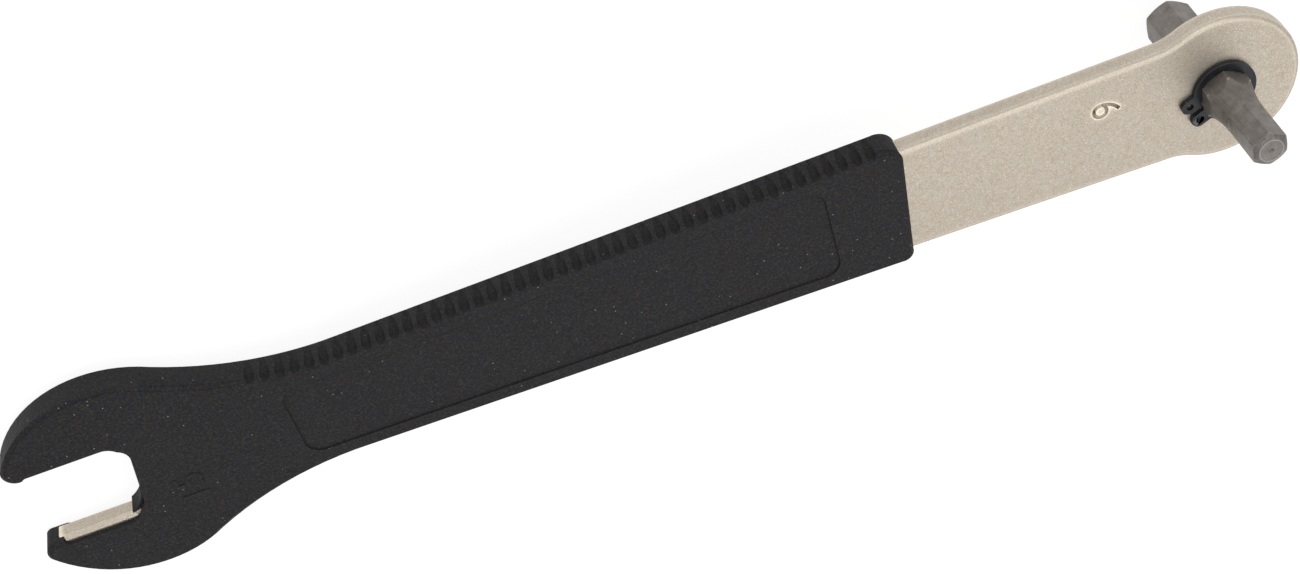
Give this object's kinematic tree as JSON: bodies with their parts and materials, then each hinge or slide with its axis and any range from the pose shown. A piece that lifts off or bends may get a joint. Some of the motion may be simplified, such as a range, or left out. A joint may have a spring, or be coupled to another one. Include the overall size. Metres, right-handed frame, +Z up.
{
  "type": "pedal wrench",
  "caption": "Bicycle pedal wrench: flat steel bar with an open jaw, moulded ribbed grip, and a double-ended hex pin held in its eye by retaining rings.",
  "frame": {"origin": "on the ground below the middle of the part's outline, as it lies at rest on its 8 mm hex end and jaw tips", "axes": "+X along the handle from the jaw towards the eye, leaning up 4.7 degrees; +Y across the handle towards its grooved edge; +Z up"},
  "size_m": [0.2321, 0.0423, 0.0418],
  "materials": {
    "nickel_steel": "nickel-plated, fine matte grain",
    "grip_plastic": "fine moulded texture, lightly dusty",
    "pin_steel": "dull grey phosphate",
    "ring_steel": "black oxide spring steel"
  },
  "bodies": {
    "root": {"steel_bar": "nickel_steel", "grip": "grip_plastic", "hex_pin": "pin_steel", "front_ring": "ring_steel", "rear_ring": "ring_steel"}
  },
  "joints": []
}
